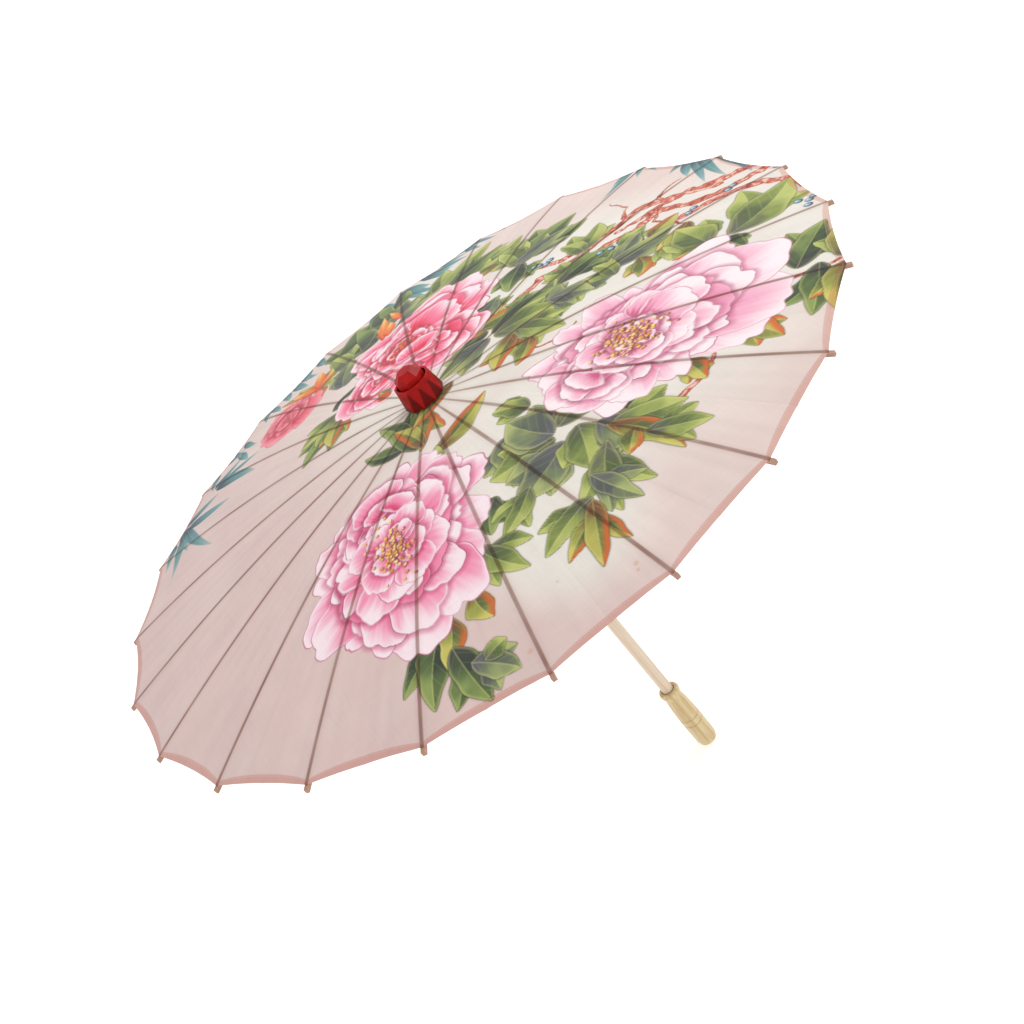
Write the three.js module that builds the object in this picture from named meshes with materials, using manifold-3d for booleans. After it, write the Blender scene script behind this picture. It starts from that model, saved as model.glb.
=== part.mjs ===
// A folding parasol in the old oil-paper pattern: a cloth cover over long wooden ribs, short
// stretchers, a slotted hub, a slotted runner that slides on a turned wooden shaft, a red
// finial and a turned handle. Millimetres, +Z up along the shaft. The origin is the middle of
// the flat end of the handle, and the parasol is drawn open.
import * as THREE from "three";
import { ConvexGeometry } from "three/addons/geometries/ConvexGeometry.js";
import { mergeVertices } from "three/addons/utils/BufferGeometryUtils.js";
import Module from "manifold-3d";

const wasm = await Module();
wasm.setup();

// ---- driving dimensions ----
const RIBS = 22;
const STEP = (2 * Math.PI) / RIBS;
const GAP = 0.3; // between pieces that rest on each other

const SHAFT_R = 6.6;
const SHAFT_FOOT = 20;
const HANDLE_LENGTH = 91;
const RIM_Z = 491; // top edge of the ribs at their tips
const RISE = 52.4; // from the tips up to the flat crown of the cover
const BOW = 9.5; // how far a rib arches above its straight chord
const TIP_R = 410;
const COVER_R = 406;
const CROWN_R = 22; // the cover is flat inside this radius
const COVER_THICK = 0.7;

const PIVOT_R = 13; // the ring of pivots in the hub and in the runner
const EYE_R = 0.85; // hole in a blade for the lacing ring
const WIRE_R = 0.45; // the lacing ring's wire
const BLADE = 1.2; // thickness of the thinned ends
const SLOT = 1.8; // width of every slot that a blade sits in
const BLADE_END_R = 1.9;
const RIB_TOP_OVER_PIVOT = 3.6;

const MID_R = 180; // where the stretcher meets the rib
const MID_OVER_EDGE = 1.9; // pivot height over the rib's lower edge there
const STRETCH_OPEN = THREE.MathUtils.degToRad(62); // stretcher against the shaft, open

// ---- the arch of a rib: its top edge and its depth at a distance from the shaft ----
function ribTop(r) {
  const s = Math.max(0, (r - CROWN_R) / (TIP_R - CROWN_R));
  return RIM_Z + RISE * (1 - s) + 4 * BOW * s * (1 - s);
}

function ribDepth(r) {
  const inner = THREE.MathUtils.clamp((r - 34) / 86, 0, 1);
  const outer = THREE.MathUtils.clamp((r - 210) / 200, 0, 1);
  return 5.5 + 1.5 * inner - 3.2 * outer;
}

function ribWidth(r) {
  const inner = THREE.MathUtils.clamp((r - 34) / 66, 0, 1);
  const outer = THREE.MathUtils.clamp((r - 230) / 180, 0, 1);
  return 3.2 + 1.1 * inner - 0.5 * outer;
}

// ---- worked out from them ----
const CROWN_Z = RIM_Z + RISE;
const PIVOT_Z = CROWN_Z - RIB_TOP_OVER_PIVOT;
const MID_Z = ribTop(MID_R) - ribDepth(MID_R) + MID_OVER_EDGE;
const STRETCH_LENGTH = (MID_R - PIVOT_R) / Math.sin(STRETCH_OPEN);
const RUNNER_Z = MID_Z - STRETCH_LENGTH * Math.cos(STRETCH_OPEN);
const WASHER_Z = CROWN_Z + GAP + COVER_THICK + GAP;
const WASHER_THICK = 0.8;
const COLLAR_Z = WASHER_Z + WASHER_THICK + GAP;

// ---- solids ----
function solid(geometry) {
  const bare = geometry.index ? geometry.toNonIndexed() : geometry.clone();
  bare.deleteAttribute("normal");
  bare.deleteAttribute("uv");
  const merged = mergeVertices(bare, 1e-4);
  const mesh = new wasm.Mesh({
    numProp: 3,
    vertProperties: new Float32Array(merged.attributes.position.array),
    triVerts: new Uint32Array(merged.index.array),
  });
  return new wasm.Manifold(mesh);
}

function geometryOf(body) {
  const mesh = body.getMesh();
  const geometry = new THREE.BufferGeometry();
  geometry.setAttribute("position", new THREE.BufferAttribute(mesh.vertProperties, 3));
  geometry.setIndex(new THREE.BufferAttribute(mesh.triVerts, 1));
  geometry.computeVertexNormals();
  return geometry;
}

// A turned piece, its first corner at the angle of the first rib, or at the angle given.
function turned(outline, sides, angle = 0) {
  const points = outline.map(([r, z]) => new THREE.Vector2(r, z));
  return new THREE.LatheGeometry(points, sides, Math.PI / 2 + angle).rotateX(Math.PI / 2);
}

function rod(radius, bottom, top, sides = 24) {
  const geometry = new THREE.CylinderGeometry(radius, radius, top - bottom, sides);
  return geometry.rotateX(Math.PI / 2).translate(0, 0, (bottom + top) / 2);
}

function peg(radius, length, z, along) {
  const geometry = new THREE.CylinderGeometry(radius, radius, length, 12);
  if (along === "x") geometry.rotateZ(Math.PI / 2);
  return geometry.translate(0, 0, z);
}

function block(x0, x1, y0, y1, z0, z1) {
  const geometry = new THREE.BoxGeometry(x1 - x0, y1 - y0, z1 - z0);
  return geometry.translate((x0 + x1) / 2, (y0 + y1) / 2, (z0 + z1) / 2);
}

// A flat plate drawn in the plane of a rib: x is outwards, y is up.
function plate(shape, thick) {
  const geometry = new THREE.ExtrudeGeometry(shape, {
    depth: thick,
    bevelEnabled: false,
    curveSegments: 3,
  });
  return geometry.rotateX(Math.PI / 2).translate(0, thick / 2, 0);
}

// A bar whose edges follow functions of the distance along it.
function bentBar(from, to, steps, low, high, width) {
  const geometry = new THREE.BoxGeometry(1, 1, 1, steps, 1, 1);
  const place = geometry.attributes.position;
  for (let i = 0; i < place.count; i++) {
    const x = from + (to - from) * (place.getX(i) + 0.5);
    const y = place.getY(i) * width(x);
    const z = place.getZ(i) < 0 ? low(x) : high(x);
    place.setXYZ(i, x, y, z);
  }
  return geometry;
}

function eye(shape, x, y) {
  const hole = new THREE.Path();
  hole.absarc(x, y, EYE_R, 0, 2 * Math.PI, true);
  shape.holes.push(hole);
}

// ---- colours ----
function wood(colour, roughness = 0.6) {
  return new THREE.MeshStandardMaterial({ color: colour, roughness, metalness: 0 });
}
const paleWood = wood(0xe6d3ae);
const ribWood = wood(0xcfae80);
const hubWood = wood(0xdcc397);
const redLacquer = wood(0xa3140e, 0.4);
const cloth = wood(0xe6d2c8, 0.8);
const thread = wood(0x7a4a32, 0.9);
const brass = new THREE.MeshStandardMaterial({
  color: 0xc8a24c,
  roughness: 0.35,
  metalness: 1,
});

const parasol = new THREE.Group();

function add(name, geometry, material, parent = parasol) {
  const mesh = new THREE.Mesh(geometry, material);
  mesh.name = name;
  parent.add(mesh);
  return mesh;
}

// ---- shaft, with its cross holes and the pocket of the catch ----
const STOP_Z = RUNNER_Z + 8.6;
const HUB_PEG_Z = PIVOT_Z - 13;
const HUB_PEG_R = 1.3;
const STOP_R = 1.5;
const RUNNER_FOOT = RUNNER_Z - 48;
const CATCH_TOP = RUNNER_FOOT - GAP;
const CATCH_FOOT = CATCH_TOP - 46;
const CATCH_WIDE = 2.2;
const SHAFT_TOP = COLLAR_Z + 13;

function shaft() {
  const pocket = block(
    -CATCH_WIDE / 2 - GAP, CATCH_WIDE / 2 + GAP,
    0.2, SHAFT_R + 1,
    CATCH_FOOT - GAP, CATCH_TOP + 2,
  );
  return solid(rod(SHAFT_R, SHAFT_FOOT, SHAFT_TOP))
    .subtract(solid(pocket))
    .subtract(solid(peg(STOP_R + GAP, 4 * SHAFT_R, STOP_Z, "x")))
    .subtract(solid(peg(HUB_PEG_R + GAP, 4 * SHAFT_R, HUB_PEG_Z, "y")));
}
add("shaft", geometryOf(shaft()), paleWood);
add("stop_peg", peg(STOP_R, 2 * SHAFT_R + 7, STOP_Z, "x"), ribWood);
add("hub_peg", peg(HUB_PEG_R, 2 * SHAFT_R + 6, HUB_PEG_Z, "y"), ribWood);

// ---- catch: a springy strip whose tip stands out just under the runner ----
const CATCH_OUT = SHAFT_R + 3.2;
const CATCH_THICK = 0.8;

function catchStrip() {
  const strip = new THREE.Shape();
  const inner = SHAFT_R - 2.6;
  strip.moveTo(inner, CATCH_FOOT);
  strip.lineTo(inner + CATCH_THICK, CATCH_FOOT);
  strip.lineTo(CATCH_OUT, CATCH_TOP - 6);
  strip.lineTo(CATCH_OUT, CATCH_TOP);
  strip.lineTo(SHAFT_R - 2.2, CATCH_TOP);
  strip.lineTo(SHAFT_R - 2.2, CATCH_TOP - CATCH_THICK);
  strip.lineTo(CATCH_OUT - CATCH_THICK, CATCH_TOP - CATCH_THICK);
  strip.lineTo(CATCH_OUT - CATCH_THICK, CATCH_TOP - 5.6);
  strip.closePath();
  return plate(strip, CATCH_WIDE).rotateZ(Math.PI / 2);
}
add("catch_spring", catchStrip(), brass);

// ---- handle: a turned barrel with two grooves, a bead, a waist and a rolled lip ----
function handle() {
  const lip = HANDLE_LENGTH;
  const outline = [
    [0, 0], [7.5, 0], [10.6, 1.8], [11.9, 6.5],
    [12.2, 35.4], [11.3, 36.6], [12.2, 37.8],
    [12.2, 44.4], [11.2, 45.8], [12.1, 47],
    [11.5, 62], [10.1, lip - 11],
    [11.7, lip - 5.4], [12, lip - 2.4], [10.8, lip],
    [SHAFT_R + GAP, lip],
    [SHAFT_R + GAP, SHAFT_FOOT - GAP], [0, SHAFT_FOOT - GAP],
  ];
  return turned(outline, 24);
}
add("handle", handle(), paleWood);

// ---- a slotted head: a thick disc with one slot for each blade and a channel for the wire ----
const HEAD_R = 17;
const SLOT_FLOOR_R = 10.2;
const NECK_R = 9.9;

function slotted(body, z) {
  let cut = body;
  for (let i = 0; i < RIBS; i++) {
    const slot = block(SLOT_FLOOR_R, HEAD_R + 2, -SLOT / 2, SLOT / 2, z - 12, z + 12);
    cut = cut.subtract(solid(slot.rotateZ(i * STEP)));
  }
  const half = WIRE_R + GAP;
  const channel = [
    [PIVOT_R - half, z - half], [PIVOT_R + half, z - half],
    [PIVOT_R + half, z + half], [PIVOT_R - half, z + half], [PIVOT_R - half, z - half],
  ];
  return cut.subtract(solid(turned(channel, RIBS, STEP / 2)));
}

function lacing(z) {
  const wire = new THREE.TorusGeometry(PIVOT_R, WIRE_R, 6, RIBS);
  return wire.rotateZ(STEP / 2).translate(0, 0, z);
}

function topHub() {
  const bore = SHAFT_R + GAP;
  const outline = [
    [bore, PIVOT_Z - 19], [NECK_R, PIVOT_Z - 19], [NECK_R, PIVOT_Z - 4.6],
    [HEAD_R, PIVOT_Z - 4.6], [HEAD_R, CROWN_Z - 0.2], [bore, CROWN_Z - 0.2],
    [bore, PIVOT_Z - 19],
  ];
  return slotted(solid(turned(outline, RIBS, STEP / 2)), PIVOT_Z)
    .subtract(solid(peg(HUB_PEG_R + GAP, 4 * SHAFT_R, HUB_PEG_Z, "y")));
}
add("top_hub", geometryOf(topHub()), hubWood);
add("hub_lacing", lacing(PIVOT_Z), brass);

// ---- runner: a slotted head over a long sleeve with a turned foot ----
function runner() {
  const bore = SHAFT_R + 0.5;
  const head = 4.6;
  const outline = [
    [bore, RUNNER_FOOT], [12, RUNNER_FOOT], [12.4, RUNNER_FOOT + 4],
    [NECK_R, RUNNER_FOOT + 8], [NECK_R, RUNNER_Z - head],
    [HEAD_R, RUNNER_Z - head], [HEAD_R, RUNNER_Z + head],
    [9.4, RUNNER_Z + head], [9.4, RUNNER_Z + head + 1.6], [bore, RUNNER_Z + head + 1.6],
    [bore, RUNNER_FOOT],
  ];
  return slotted(solid(turned(outline, RIBS, STEP / 2)), RUNNER_Z);
}
add("runner", geometryOf(runner()), hubWood);
add("runner_lacing", lacing(RUNNER_Z), thread);

// ---- rib: an arched bar, thinned at the hub, with a slot for the stretcher and its pin ----
const RIB_BODY_FROM = 34;
const PIN_R = 0.6;

function rib() {
  const bar = bentBar(
    RIB_BODY_FROM, TIP_R, 8,
    (r) => ribTop(r) - ribDepth(r), ribTop, ribWidth,
  );
  const blade = new THREE.Shape();
  const join = RIB_BODY_FROM + 6;
  blade.moveTo(PIVOT_R, PIVOT_Z - BLADE_END_R);
  blade.lineTo(RIB_BODY_FROM + 1, ribTop(RIB_BODY_FROM) - ribDepth(RIB_BODY_FROM) + 0.3);
  blade.lineTo(join, ribTop(join) - ribDepth(join) + 0.4);
  blade.lineTo(join, ribTop(join) - 0.2);
  blade.lineTo(CROWN_R, CROWN_Z);
  blade.lineTo(PIVOT_R - 1, CROWN_Z);
  blade.lineTo(PIVOT_R - BLADE_END_R, CROWN_Z - 1.4);
  blade.lineTo(PIVOT_R - BLADE_END_R, PIVOT_Z);
  blade.absarc(PIVOT_R, PIVOT_Z, BLADE_END_R, Math.PI, 1.5 * Math.PI, false);
  eye(blade, PIVOT_R, PIVOT_Z);
  const slot = block(
    MID_R - 15, MID_R + 26, -SLOT / 2, SLOT / 2,
    MID_Z - 8, MID_Z + BLADE_END_R + 0.4,
  );
  const pin = new THREE.CylinderGeometry(PIN_R, PIN_R, ribWidth(MID_R) - 0.6, 8);
  return solid(bar)
    .add(solid(plate(blade, BLADE)))
    .subtract(solid(slot))
    .add(solid(pin.translate(MID_R, 0, MID_Z)));
}

// ---- stretcher: drawn along +x from the rib's pin to the runner, its bar stepped to the side
// that faces the shaft when the parasol is shut ----
const STEP_IN = 4.6;
const BAR_FROM = 16;
const BAR_TO = STRETCH_LENGTH - 20;

function barLine(x) {
  return -STEP_IN * THREE.MathUtils.clamp((BAR_TO - x) / (BAR_TO - BAR_FROM), 0, 1);
}

function stretcher() {
  const half = (x) => 2.15 - 0.25 * THREE.MathUtils.clamp(x / STRETCH_LENGTH, 0, 1);
  const bar = bentBar(
    BAR_FROM, BAR_TO, 2,
    (x) => barLine(x) - half(x),
    (x) => barLine(x) + half(x),
    (x) => 3.1 - (0.6 * x) / STRETCH_LENGTH,
  );
  const outer = new THREE.Shape();
  const end = BLADE_END_R - 0.1;
  outer.absarc(0, 0, end, 0.5 * Math.PI, 1.5 * Math.PI, false);
  outer.lineTo(BAR_FROM + 6, barLine(BAR_FROM + 6) - 1.6);
  outer.lineTo(BAR_FROM + 6, barLine(BAR_FROM + 6) + 1.6);
  outer.lineTo(BAR_FROM, barLine(BAR_FROM) + 1.8);
  eye(outer, 0, 0);
  const inner = new THREE.Shape();
  inner.absarc(STRETCH_LENGTH, 0, end, -0.5 * Math.PI, 0.5 * Math.PI, false);
  inner.lineTo(BAR_TO - 6, barLine(BAR_TO - 6) + 1.6);
  inner.lineTo(BAR_TO - 6, barLine(BAR_TO - 6) - 1.6);
  eye(inner, STRETCH_LENGTH, 0);
  return solid(bar).add(solid(plate(outer, BLADE))).add(solid(plate(inner, BLADE)));
}

const ribGeometry = geometryOf(rib());
const stretcherGeometry = geometryOf(stretcher());
const slope = Math.atan2(Math.cos(STRETCH_OPEN), -Math.sin(STRETCH_OPEN));
for (let i = 0; i < RIBS; i++) {
  const number = String(i + 1).padStart(2, "0");
  const spoke = new THREE.Group();
  spoke.rotation.z = i * STEP;
  parasol.add(spoke);
  add(`rib_${number}`, ribGeometry, ribWood, spoke);
  const strut = add(`stretcher_${number}`, stretcherGeometry, ribWood, spoke);
  strut.position.set(MID_R, 0, MID_Z);
  strut.rotation.y = slope;
}

// ---- cover: one thin sheet over the ribs, flat between each two, with a hole for the shaft ----
function cover() {
  const stations = [SHAFT_R + 1.8, CROWN_R];
  const rings = 8;
  for (let i = 1; i <= rings; i++) {
    stations.push(CROWN_R + ((COVER_R - CROWN_R) * i) / rings);
  }
  const under = stations.map((r) => [r, ribTop(r) + GAP]);
  const over = stations.map((r) => [r, ribTop(r) + GAP + COVER_THICK]).reverse();
  return turned([...under, ...over, under[0]], RIBS);
}
add("canopy", cover(), cloth);

// ---- finial: a washer, a faceted collar and an eight-sided knob ----
const COLLAR_BASE_R = 21.8;
const COLLAR_RIM_R = 19.6;
const COLLAR_HIGH = 22.4;
const COLLAR_SIDES = 10;
const COLLAR_FLOOR = 4;
const KNOB_R = 15.4;
const KNOB_TOP = COLLAR_Z + 34.4;
const KNOB_BEVEL_HIGH = 6.6;
const KNOB_BEVEL_DEEP = 7.2;
const KNOB_PLAY = 1.4; // room round the knob in the collar

function ring(radius, z, sides, turn) {
  const points = [];
  for (let i = 0; i < sides; i++) {
    const angle = (2 * Math.PI * (i + turn)) / sides;
    points.push(new THREE.Vector3(radius * Math.cos(angle), radius * Math.sin(angle), z));
  }
  return points;
}

function washer() {
  const inner = SHAFT_R + GAP;
  return turned(
    [
      [inner, WASHER_Z], [19, WASHER_Z], [19, WASHER_Z + WASHER_THICK],
      [inner, WASHER_Z + WASHER_THICK], [inner, WASHER_Z],
    ],
    24,
  );
}

function collar() {
  const outside = new ConvexGeometry([
    ...ring(COLLAR_BASE_R, COLLAR_Z, COLLAR_SIDES, 0),
    ...ring(COLLAR_BASE_R, COLLAR_Z + 2, COLLAR_SIDES, 0),
    ...ring(COLLAR_RIM_R, COLLAR_Z + COLLAR_HIGH, COLLAR_SIDES, 0.5),
  ]);
  const recess = rod(KNOB_R + KNOB_PLAY, COLLAR_Z + COLLAR_FLOOR, COLLAR_Z + 30);
  const bore = rod(SHAFT_R + GAP, COLLAR_Z - 5, COLLAR_Z + 30);
  return solid(outside).subtract(solid(recess)).subtract(solid(bore));
}

function knob() {
  const foot = COLLAR_Z + COLLAR_FLOOR + GAP;
  const outside = new ConvexGeometry([
    ...ring(KNOB_R - 0.8, foot, 8, 0.5),
    ...ring(KNOB_R, KNOB_TOP - KNOB_BEVEL_HIGH, 8, 0.5),
    ...ring(KNOB_R - KNOB_BEVEL_DEEP, KNOB_TOP, 8, 0.5),
  ]);
  return solid(outside).subtract(solid(rod(SHAFT_R + GAP, foot - 5, SHAFT_TOP + GAP)));
}
add("canopy_washer", washer(), redLacquer);
add("finial_collar", geometryOf(collar()), redLacquer);
add("finial_knob", geometryOf(knob()), redLacquer);

export default parasol;
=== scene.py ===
# A folding parasol, open: a printed cloth cover over 22 wooden ribs, with short stretchers,
# slotted hubs laced with wire and thread, a red lacquered finial and a turned handle.
# Metres, +Z up along the shaft, the origin at the middle of the handle's flat end.
import math

import bpy
import numpy as np
from mathutils import Matrix, Vector


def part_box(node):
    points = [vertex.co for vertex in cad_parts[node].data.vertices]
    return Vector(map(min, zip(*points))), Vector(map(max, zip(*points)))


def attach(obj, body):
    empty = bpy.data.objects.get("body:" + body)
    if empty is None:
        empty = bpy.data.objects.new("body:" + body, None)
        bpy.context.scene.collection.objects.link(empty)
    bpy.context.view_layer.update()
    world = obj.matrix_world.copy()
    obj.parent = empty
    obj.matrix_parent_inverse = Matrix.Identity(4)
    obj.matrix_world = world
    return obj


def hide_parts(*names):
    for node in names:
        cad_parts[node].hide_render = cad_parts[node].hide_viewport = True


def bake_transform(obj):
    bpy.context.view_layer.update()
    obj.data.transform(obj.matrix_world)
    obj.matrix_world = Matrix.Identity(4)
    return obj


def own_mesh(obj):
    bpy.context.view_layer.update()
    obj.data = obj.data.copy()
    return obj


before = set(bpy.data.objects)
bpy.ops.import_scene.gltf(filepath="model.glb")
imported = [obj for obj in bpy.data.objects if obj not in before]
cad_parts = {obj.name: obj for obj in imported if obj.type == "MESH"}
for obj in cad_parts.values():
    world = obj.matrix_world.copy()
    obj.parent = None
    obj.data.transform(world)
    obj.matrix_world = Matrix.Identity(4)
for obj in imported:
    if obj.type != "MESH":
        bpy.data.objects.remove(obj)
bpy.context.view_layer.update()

MM = 0.001

# ---- the parasol's own measures, in millimetres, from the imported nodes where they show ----
RIBS = 22
STEP = 2 * math.pi / RIBS
canopy_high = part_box("canopy")[1]
TIP_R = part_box("rib_01")[1][0] / MM
COVER_R = canopy_high[0] / MM
CROWN_R = 22.0  # the cover is level inside this radius
CROWN_Z = canopy_high[2] / MM - 1.0  # top edge of the ribs at the crown
RIM_Z = CROWN_Z - 52.4
ARCH = 9.5  # how far a rib arches above its straight chord
CLEAR = 0.3  # between a rib and the cloth on it
CLOTH = 0.35  # the cloth's thickness
HOLE_R = 8.6  # hole in the cover for the shaft
SAG = 1.7  # how far the cloth dips between two ribs at the rim
HEM_DIP = 3.0  # how far the hem curves in between two tips
INNER_R = 60.0  # rings where the cover is divided, so that it can fold
MIDDLE_R = 150.0
WIDE_R = 220.0
OUTER_R = 310.0
CORNER = math.radians(34)  # an edge that turns more than this is a corner


def rib_top(r):
    """Height of the ribs' top edge at a distance from the shaft, both in millimetres."""
    s = np.clip((r - CROWN_R) / (TIP_R - CROWN_R), 0, None)
    return RIM_Z + (CROWN_Z - RIM_Z) * (1 - s) + 4 * ARCH * s * (1 - s)


def rib_angle(number):
    return (number - 1) * STEP


# ---- camera ----
VIEW_TURN = math.radians(-0.33)  # the camera stands at -Y, this much round
VIEW_DOWN = math.radians(29.6)
VIEW_ROLL = math.radians(-39.84)
VIEW_DISTANCE = 1.424  # from the middle of the rim, along the view
AIM_RIGHT = 0.0519  # the view's middle is off the rim's middle by these
AIM_UP = -0.0724
LENS = 51.93


def set_camera():
    forward = Vector((
        math.sin(VIEW_TURN) * math.cos(VIEW_DOWN),
        math.cos(VIEW_TURN) * math.cos(VIEW_DOWN),
        -math.sin(VIEW_DOWN),
    ))
    level = Vector((math.cos(VIEW_TURN), -math.sin(VIEW_TURN), 0))
    above = level.cross(forward)
    right = level * math.cos(VIEW_ROLL) + above * math.sin(VIEW_ROLL)
    up = right.cross(forward)
    middle = Vector((0, 0, RIM_Z * MM))
    place = middle + right * AIM_RIGHT + up * AIM_UP - forward * VIEW_DISTANCE
    data = bpy.data.cameras.new("view")
    data.lens = LENS
    data.sensor_width = 36
    data.clip_start = 0.05
    data.clip_end = 200
    camera = bpy.data.objects.new("view", data)
    bpy.context.collection.objects.link(camera)
    turn = Matrix((right, up, -forward)).transposed().to_4x4()
    camera.matrix_world = Matrix.Translation(place) @ turn
    bpy.context.scene.camera = camera


set_camera()


# ---- colours ----
def linear(colour):
    """A colour given as 0 to 255 on a screen, as the light that it stands for."""
    c = np.asarray(colour, float) / 255
    return np.where(c <= 0.04045, c / 12.92, ((c + 0.055) / 1.055) ** 2.4)


def paint(colour):
    return (*[float(c) for c in linear(colour)], 1.0)


# ---- the printed picture ----
def ease(low, high, value):
    t = np.clip((value - low) / (high - low), 0, 1)
    return t * t * (3 - 2 * t)


def mix(a, b, share):
    return a + (b - a) * share


def tint(colours, other, share):
    """One share for each point: every colour moved that far towards another."""
    return mix(colours, other, share[:, None])


def cloud(x, y, size, seed):
    """A soft random tone from -1 to 1, in patches of about the size given."""
    table = np.random.RandomState(seed).uniform(-1, 1, (97, 97))
    gx, gy = x / size + 500, y / size + 500
    i, j = np.floor(gx).astype(int), np.floor(gy).astype(int)
    fx, fy = gx - i, gy - j
    fx, fy = fx * fx * (3 - 2 * fx), fy * fy * (3 - 2 * fy)
    i, j = i % 96, j % 96
    low = mix(table[i, j], table[i + 1, j], fx)
    high = mix(table[i, j + 1], table[i + 1, j + 1], fx)
    return mix(low, high, fy)


class Picture:
    """Ink on the cover, worked out at points given in millimetres as seen from above."""

    def __init__(self, x, y):
        self.x, self.y = x, y
        self.ink = np.zeros((len(x), 3))

    def near(self, cx, cy, reach):
        return np.nonzero(
            (np.abs(self.x - cx) < reach) & (np.abs(self.y - cy) < reach)
        )[0]

    def beside(self, bx, by, tx, ty, width):
        """The points near a line, its length, and how far along and across it they are."""
        length, angle = math.hypot(tx - bx, ty - by), math.atan2(ty - by, tx - bx)
        at = self.near((bx + tx) / 2, (by + ty) / 2, length * 0.6 + width)
        dx, dy = self.x[at] - bx, self.y[at] - by
        c, s = math.cos(angle), math.sin(angle)
        return at, length, (dx * c + dy * s) / length, dy * c - dx * s

    def lay(self, at, colour, cover):
        cover = np.asarray(cover)[:, None]
        self.ink[at] = self.ink[at] * (1 - cover) + colour * cover

    def dim(self, at, share):
        self.ink[at] *= (1 - np.asarray(share))[:, None]


PINK_CLOTH = np.array([223, 203, 196.0])
# the darker, rosier pink of the painted shade on the side away from the key light
SHADED_ROSE_CLOTH = np.array([214, 188, 183.0])
WHITE_CLOTH = np.array([228, 223, 213.0])
# Around the flowers the cloth is whiter: middles and radii of those soft patches.
WHITE_PATCHES = (
    (60, 60, 190), (200, 40, 170), (340, -30, 130), (50, -190, 150), (190, -140, 170),
    (330, -160, 110), (20, -290, 90), (60, 340, 90), (-60, -150, 110),
)


def ground(art):
    """The dyed cloth under the print: pink, whiter round the flowers, and with painted shade, darker and
    rosier, on the side away from the key light.
    """
    white = np.zeros(len(art.x))
    for cx, cy, radius in WHITE_PATCHES:
        away = np.hypot(art.x - cx, art.y - cy) / radius
        white = np.maximum(white, 1 - ease(0.45, 1.15, away))
    white = np.clip(0.9 * white + 0.12 * cloud(art.x, art.y, 45, 3), 0, 1)
    # painted shade: the cloth turns darker and rosier towards the side away from the key light
    shade_side = ease(60, -260, art.x + 0.35 * art.y)
    cloth = tint(PINK_CLOTH, SHADED_ROSE_CLOTH, shade_side)
    cloth = tint(cloth, WHITE_CLOTH, white)
    way, ring = np.arctan2(art.y, art.x), np.hypot(art.x, art.y)
    # painted light and shade of fine wrinkles: faint lighter and darker streaks along the gores, away from
    # the middle
    wrinkle_light = cloud(way * 210, ring / 16, 4.5, 8) * ease(40, 200, ring)
    tone = 1 + 0.012 * cloud(art.x, art.y, 60, 5) + 0.008 * cloud(art.x, art.y, 17, 6) + 0.013 * wrinkle_light
    art.ink[:] = cloth * tone[:, None]


def petal(art, bx, by, angle, length, width, shades, rng, shade=0.4):
    """A ruffled petal from its foot outwards, dark at the foot and pale at the rim."""
    deep, middle, pale, line = shades
    wave = rng.uniform(0, 6.28, 4)
    at = art.near(bx, by, length * 1.2 + width * 0.6)
    if not len(at):
        return
    dx, dy = art.x[at] - bx, art.y[at] - by
    c, s = math.cos(angle), math.sin(angle)
    along, across = (dx * c + dy * s) / length, (dy * c - dx * s) / (width / 2)
    across = across + 0.35 * math.sin(wave[3]) * along * (1 - along)
    p = (along - 0.58) / 0.42
    turn = np.arctan2(across, p)
    edge = (
        1
        + 0.065 * np.sin(2 * turn + wave[0])
        + 0.045 * np.sin(5 * turn + wave[1])
        + 0.016 * np.sin(11 * turn + wave[2])
        - 0.11 * np.exp(-((turn - 0.6 * math.sin(wave[1])) / 0.16) ** 2)
    )
    inside = (edge - np.hypot(p, across)) * min(length * 0.42, width / 2)
    art.lay(at, deep * 0.9, shade * ease(-6, 0, inside) * (inside < 0))
    spread = np.arctan2(across * width / 2, along * length + 0.15 * length)
    vein = np.sin(spread * 40 + wave[0] + 1.2 * np.sin(along * 6 + wave[1]))
    fine = np.sin(spread * 103 + wave[2] + np.sin(along * 9 + wave[0]))
    tone = along + (0.09 * vein + 0.05 * fine) * (1.1 - along) + 0.12 * np.sin(across * 3 + wave[2])
    colour = tint(deep, middle, ease(0.24, 0.54, tone))
    colour = tint(colour, pale, ease(0.52, 0.98, tone))
    lip = 1 - ease(0.8, 4.2 + 2.0 * np.sin(4 * turn + wave[1]), inside)
    colour = tint(colour, pale, 0.85 * lip)
    rim = (0.55 + 0.25 * np.sin(turn + wave[0])) * (1 - ease(0.25, 0.95, np.abs(inside - 0.1)))
    colour = tint(colour, line, rim)
    art.lay(at, colour, ease(-0.55, 0.45, inside))


def dot(art, cx, cy, radius, colour, strength=1.0):
    at = art.near(cx, cy, radius + 2)
    away = np.hypot(art.x[at] - cx, art.y[at] - cy)
    art.lay(at, np.array(colour, float), strength * (1 - ease(radius - 0.6, radius + 0.6, away)))


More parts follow.
